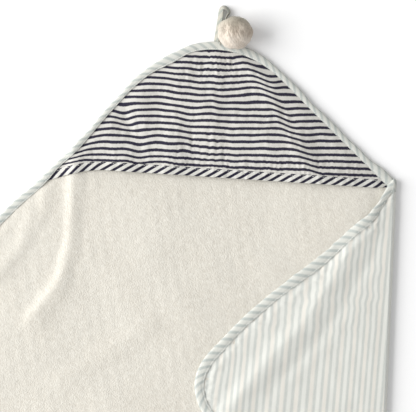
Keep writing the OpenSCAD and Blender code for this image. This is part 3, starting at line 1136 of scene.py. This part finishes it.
# Place of the tape's middle and its lean from upright, in millimetres and degrees
LOOP_ROUTE = [(5.8, 473, 3.6, -40), (7.6, 486, 3.7, -50), (10.2, 500, 3.8, -54), (12.0, 512, 4.2, -52),
              (13.2, 521.5, 4.8, -44), (16.0, 525.4, 5.4, -38), (20.8, 524.0, 5.4, -32),
              (23.8, 520.4, 5.0, -24), (23.4, 516.6, 4.8, -14), (20.8, 513.0, 4.6, -8),
              (18.0, 506, 4.6, -6), (15.6, 498, 4.6, -6), (13.0, 487, 4.6, -4), (11.4, 473, 4.6, 0)]


def spline(rows, steps):
    """A smooth curve through rows of numbers."""
    rows = np.array(rows, float)
    padded = np.vstack([2 * rows[0] - rows[1], rows, 2 * rows[-1] - rows[-2]])
    t = np.linspace(0, 1, steps, endpoint=False)[:, None]
    parts = []
    for a, b, c, d in zip(padded, padded[1:], padded[2:], padded[3:]):
        parts.append(0.5 * (2 * b + (c - a) * t + (2 * a - 5 * b + 4 * c - d) * t ** 2
                            + (3 * b - a - 3 * c + d) * t ** 3))
    return np.vstack(parts + [rows[-1:]])


# Places round the tape's section, as shares of its width and thickness
LOOP_SECTION = [(-0.5, -0.3), (-0.46, -0.5), (0, -0.56), (0.46, -0.5), (0.5, -0.3),
                (0.5, 0.3), (0.46, 0.5), (0, 0.56), (-0.46, 0.5), (-0.5, 0.3)]


def make_loop():
    """Folded tape that stands on its edge at the seam and leans over where it turns."""
    route = spline(LOOP_ROUTE, 6)
    places, lean = route[:, :3] * MM, np.radians(route[:, 3])
    forward = unit(np.gradient(places, axis=0))
    side = unit(np.stack([-forward[:, 1], forward[:, 0], np.zeros(len(forward))], axis=1))
    up = np.array([0, 0, 1])
    wide = np.cos(lean)[:, None] * up + np.sin(lean)[:, None] * side
    thin = np.cross(forward, wide)
    section = np.array(LOOP_SECTION)
    points = (places[:, None] + section[:, 0, None] * LOOP_W * wide[:, None]
              + section[:, 1, None] * LOOP_T * thin[:, None])
    points[..., 2] = np.maximum(points[..., 2], 0.2 * MM)
    faces = sweep_faces(len(LOOP_SECTION), len(places))
    walked = running(np.linalg.norm(np.diff(places, axis=0), axis=1))
    flat = np.stack(np.broadcast_arrays(walked[:, None], section[:, 0] * LOOP_W), axis=-1).reshape(-1, 2)
    piece = make_piece("shaded_loop_tape", points.reshape(-1, 3), faces, flat)
    return dress(piece, LOOP_TAPE_SHADED, "sage_binding", "towel", "hanging_loop")


shaded_loop_tape = make_loop()


# ---- pompom ----

POMPOM_LOW, POMPOM_HIGH = (Vector(corner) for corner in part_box("pompom"))
POMPOM_SHIFT = np.array((-1.2, -3.4, 0.5)) * MM
POMPOM_AT = np.array((POMPOM_LOW + POMPOM_HIGH) / 2) + POMPOM_SHIFT
POMPOM_R = (POMPOM_HIGH[2] - POMPOM_LOW[2]) / 2
POMPOM_STRETCH = (1.06, 0.99, 1.0)
# Direction from the ball's middle to the tip's edge, and how far the ball reaches that way
EDGE_SIDE = np.array((0, -0.766, -0.643))
EDGE_REACH = 20.4 * MM
FIBRES = 2600
FIBRE_POINTS = 5


def dented(points):
    """Points of the ball, pressed in where it rests on the floor and against the tip's edge."""
    reach = (points - POMPOM_AT) @ EDGE_SIDE
    points = points - np.maximum(reach - EDGE_REACH, 0)[:, None] * EDGE_SIDE
    points[:, 2] = np.maximum(points[:, 2], 0.1 * MM)
    return points


def make_pompom():
    """A felted ball: uneven, slightly flattened where it rests, and covered in wisps of wool."""
    mesh = bmesh.new()
    bmesh.ops.create_icosphere(mesh, subdivisions=6, radius=1)
    out = np.array([v.co[:] for v in mesh.verts])
    faces = [[v.index for v in face.verts] for face in mesh.faces]
    mesh.free()
    x, y, z = (out * POMPOM_R).T
    out = out * POMPOM_STRETCH
    lumps = 0.55 * MM * ripple(x + 0.7 * z, y - 0.4 * z, 19 * MM, 71)
    fuzz = 0.16 * MM * ripple(x + 0.5 * y, z - 0.3 * y, 3.4 * MM, 72, terms=14)
    points = dented(out * (POMPOM_R - 1.0 * MM + lumps + fuzz)[:, None] + POMPOM_AT)
    wisps, strips = make_wisps()
    start = len(points)
    faces += [[i + start for i in strip] for strip in strips]
    piece = make_piece("pompom_felt", np.concatenate([points, wisps]), faces)
    return dress(piece, WOOL, "wool_felt", "pompom_ball", "pompom")


def make_wisps():
    """Thin flat fibres that hug the ball and lift off it at their ends."""
    draw = np.random.default_rng(73)
    out = unit(draw.normal(size=(FIBRES, 3)))
    grain = np.array([0.15, 1.0, 0.25]) + 0.7 * draw.normal(size=(FIBRES, 3))
    along = unit(grain - out * np.sum(grain * out, axis=1, keepdims=True))
    across = np.cross(out, along)
    length = draw.uniform(4, 10, FIBRES) * MM
    curl = draw.uniform(-0.35, 0.35, FIBRES)
    lift = draw.uniform(0.1, 1.1, FIBRES) * MM
    points = []
    for k in range(FIBRE_POINTS):
        t = k / (FIBRE_POINTS - 1) - 0.5
        turn = t * length / POMPOM_R
        around = np.cos(turn)[:, None] * out + np.sin(turn)[:, None] * along
        around = unit(around + (curl * t * t * length / POMPOM_R)[:, None] * across)
        radius = POMPOM_R - 0.9 * MM + lift * 4 * t * t
        half = 0.11 * MM * (1 - 1.6 * abs(t))
        centre = around * radius[:, None] + POMPOM_AT
        points += [centre - across * half, centre + across * half]
    points = dented(np.stack(points, axis=1).reshape(-1, 3))
    size = 2 * FIBRE_POINTS
    strips = [
        (f * size + 2 * k, f * size + 2 * k + 1, f * size + 2 * k + 3, f * size + 2 * k + 2)
        for f in range(FIBRES) for k in range(FIBRE_POINTS - 1)
    ]
    return points, strips


TIE_SHARE = 0.45
TIE_TURNS, TIE_SIDES, TIE_STEPS = 3, 8, 24


def make_tie():
    """A short twisted thread from the tip's seam into the pompom."""
    foot = np.array(joints["pompom_lift"]["pos_m"])
    head = foot + (POMPOM_AT - foot) * TIE_SHARE
    axis = (head - foot) / np.linalg.norm(head - foot)
    side = np.cross(axis, (0, 0, 1))
    side /= np.linalg.norm(side)
    other = np.cross(axis, side)
    rings = []
    for t in np.linspace(0, 1, TIE_STEPS):
        for a in np.linspace(0, 2 * math.pi, TIE_SIDES, endpoint=False):
            twist = a + TIE_TURNS * 2 * math.pi * t
            radius = (0.75 + 0.2 * math.cos(2 * a)) * MM
            out = math.cos(twist) * side + math.sin(twist) * other
            rings.append(foot + (head - foot) * t + radius * out)
    piece = make_piece("tie_thread", rings, sweep_faces(TIE_SIDES, TIE_STEPS))
    return dress(piece, THREAD, "thread", "pompom_ball", "pompom_tie")


make_pompom()
make_tie()
